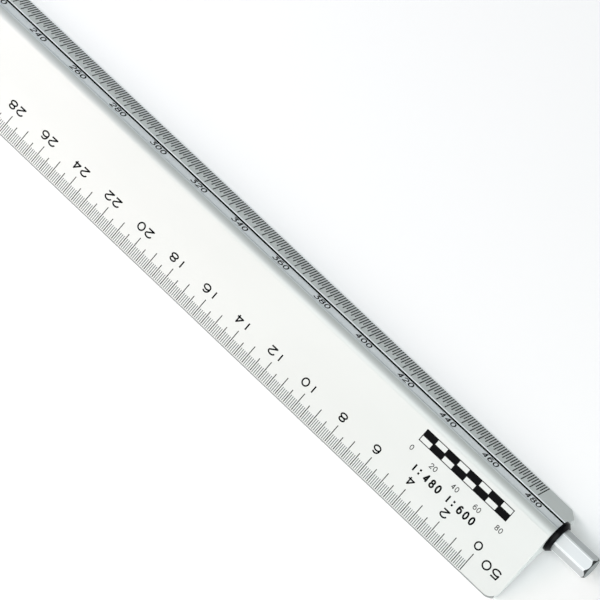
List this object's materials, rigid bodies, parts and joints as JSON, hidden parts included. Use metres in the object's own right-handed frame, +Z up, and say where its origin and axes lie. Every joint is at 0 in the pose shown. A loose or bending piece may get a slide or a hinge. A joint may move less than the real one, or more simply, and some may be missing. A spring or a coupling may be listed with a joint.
{
  "type": "engineer's scale rule",
  "caption": "Flat-bodied drafting scale rule with a fixed tick edge, a thin second scale edge and a turning hexagonal bar that brings other numerals beside the ticks.",
  "frame": {"origin": "bottom centre of the whole rule, on the surface that it lies on", "axes": "+X along the rule towards the knob, +Y across it towards the edge with the ticks beside the bar, +Z up"},
  "size_m": [0.3364, 0.027, 0.0094],
  "materials": {
    "body_aluminium": "fine satin, clear anodised",
    "bar_aluminium": "fine satin, clear anodised",
    "black_plastic": "moulded, semi-matt",
    "clip_steel": "dark spring steel",
    "spring_steel": "bright spring steel",
    "ink": "printed ink"
  },
  "bodies": {
    "rule": {"rule_body": "body_aluminium", "knob_end_bush": "black_plastic", "far_end_bush": "black_plastic", "index_spring_knob_end": "spring_steel", "index_spring_far_end": "spring_steel"},
    "bar": {"numeral_bar": "bar_aluminium", "retaining_clip": "clip_steel"}
  },
  "joints": [
    {"name": "bar_spin", "type": "hinge", "parent": "rule", "child": "bar", "pos_m": [0, 0.00564, 0.00515], "axis": [1, 0, 0], "continuous": true, "deforming": ["index_spring_knob_end", "index_spring_far_end"]}
  ]
}
